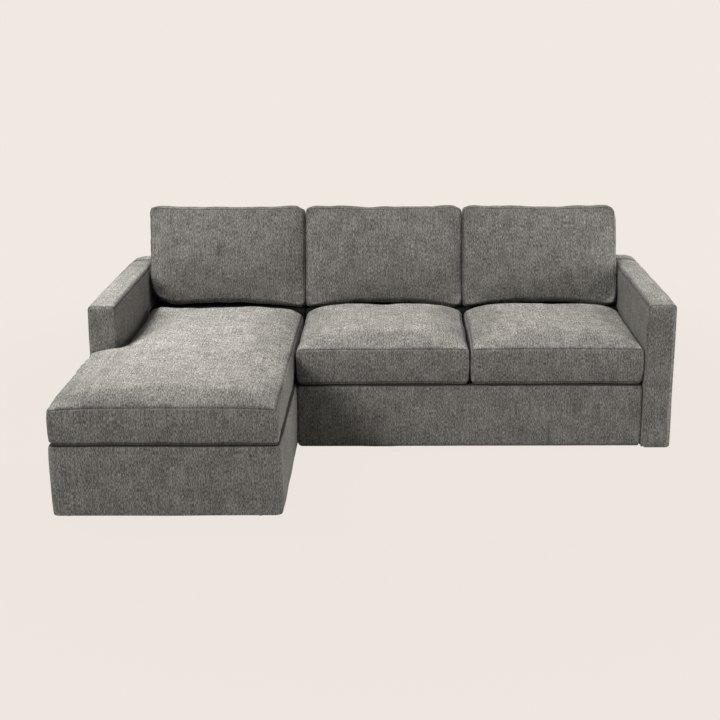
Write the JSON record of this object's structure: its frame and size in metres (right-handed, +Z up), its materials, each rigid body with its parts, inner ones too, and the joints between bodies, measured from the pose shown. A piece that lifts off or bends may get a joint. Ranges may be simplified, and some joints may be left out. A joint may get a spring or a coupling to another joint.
{
  "type": "corner sofa bed",
  "caption": "Corner sofa with a chaise on its left, boxed seat and back cushions and slim arms; the seat rolls forward on castors into a bed.",
  "frame": {"origin": "on the floor under the middle of the whole sofa's box", "axes": "+X to the right as seen from the front, along the long back; the front faces -Y; +Z up"},
  "size_m": [2.4, 1.7296, 0.8856],
  "materials": {
    "upholstery_fabric": "heathered dark taupe chenille with a short nap",
    "beech_wood": "planed beech",
    "painted_steel": "black powder coat",
    "castor_rubber": "moulded grey rubber",
    "glide_plastic": "black moulded plastic"
  },
  "bodies": {
    "root": {"left_arm": "upholstery_fabric", "right_arm": "upholstery_fabric", "back_left": "upholstery_fabric", "back_right": "upholstery_fabric", "chaise_front_panel": "upholstery_fabric", "chaise_left_panel": "upholstery_fabric", "chaise_right_panel": "upholstery_fabric", "chaise_back_ledge": "upholstery_fabric", "seat_back_ledge": "upholstery_fabric", "chaise_cushion": "upholstery_fabric", "chaise_ledger_front": "beech_wood", "chaise_ledger_arm": "beech_wood", "chaise_ledger_right": "beech_wood", "chaise_slat_1": "beech_wood", "chaise_slat_2": "beech_wood", "chaise_slat_3": "beech_wood", "chaise_slat_4": "beech_wood", "chaise_slat_5": "beech_wood", "front_cross_rail": "beech_wood", "rear_ledger": "beech_wood", "fixed_slat_1": "beech_wood", "fixed_slat_2": "beech_wood", "fixed_slat_3": "beech_wood", "fixed_slat_4": "beech_wood", "fixed_slat_5": "beech_wood", "fixed_slat_6": "beech_wood", "fixed_slat_7": "beech_wood", "glide_left_arm": "glide_plastic", "glide_right_arm": "glide_plastic", "glide_back_left": "glide_plastic", "glide_back_middle": "glide_plastic", "glide_back_right": "glide_plastic", "glide_chaise_left": "glide_plastic", "glide_chaise_right": "glide_plastic"},
    "bed_carriage": {"front_rail": "upholstery_fabric", "seat_cushion_middle": "upholstery_fabric", "seat_cushion_right": "upholstery_fabric", "carriage_front_batten": "beech_wood", "carriage_rear_member": "painted_steel", "carriage_post_left": "painted_steel", "carriage_post_right": "painted_steel", "runner_left": "painted_steel", "runner_right": "painted_steel", "moving_slat_1": "beech_wood", "moving_slat_2": "beech_wood", "moving_slat_3": "beech_wood", "moving_slat_4": "beech_wood", "moving_slat_5": "beech_wood", "moving_slat_6": "beech_wood", "castor_fork_left_front": "painted_steel", "castor_fork_left_rear": "painted_steel", "castor_fork_right_front": "painted_steel", "castor_fork_right_rear": "painted_steel"},
    "castor_left_front": {"castor_wheel_left_front": "castor_rubber"},
    "castor_left_rear": {"castor_wheel_left_rear": "castor_rubber"},
    "castor_right_front": {"castor_wheel_right_front": "castor_rubber"},
    "castor_right_rear": {"castor_wheel_right_rear": "castor_rubber"},
    "back_cushion_left": {"back_cushion_left": "upholstery_fabric"},
    "back_cushion_middle": {"back_cushion_middle": "upholstery_fabric"},
    "back_cushion_right": {"back_cushion_right": "upholstery_fabric"}
  },
  "joints": [
    {"name": "bed_slide", "type": "slide", "parent": "root", "child": "bed_carriage", "axis": [0, -1, 0], "range_m": [0, 0.46]},
    {"name": "castor_left_front_turn", "type": "hinge", "parent": "bed_carriage", "child": "castor_left_front", "pos_m": [-0.277, -0.0047, 0.025], "axis": [1, 0, 0], "range_deg": [0, 1060]},
    {"name": "castor_left_rear_turn", "type": "hinge", "parent": "bed_carriage", "child": "castor_left_rear", "pos_m": [-0.277, 0.595, 0.025], "axis": [1, 0, 0], "range_deg": [0, 1060]},
    {"name": "castor_right_front_turn", "type": "hinge", "parent": "bed_carriage", "child": "castor_right_front", "pos_m": [0.997, -0.0047, 0.025], "axis": [1, 0, 0], "range_deg": [0, 1060]},
    {"name": "castor_right_rear_turn", "type": "hinge", "parent": "bed_carriage", "child": "castor_right_rear", "pos_m": [0.997, 0.595, 0.025], "axis": [1, 0, 0], "range_deg": [0, 1060]},
    {"name": "back_cushion_left_lift", "type": "slide", "parent": "root", "child": "back_cushion_left", "axis": [0, 0, 1], "range_m": [0, 0.5]},
    {"name": "back_cushion_middle_lift", "type": "slide", "parent": "root", "child": "back_cushion_middle", "axis": [0, 0, 1], "range_m": [0, 0.5]},
    {"name": "back_cushion_right_lift", "type": "slide", "parent": "root", "child": "back_cushion_right", "axis": [0, 0, 1], "range_m": [0, 0.5]}
  ],
  "couplings": [
    {"joint": "castor_left_front_turn", "follows": "bed_slide", "rad_per_m": 40},
    {"joint": "castor_left_rear_turn", "follows": "bed_slide", "rad_per_m": 40},
    {"joint": "castor_right_front_turn", "follows": "bed_slide", "rad_per_m": 40},
    {"joint": "castor_right_rear_turn", "follows": "bed_slide", "rad_per_m": 40}
  ]
}
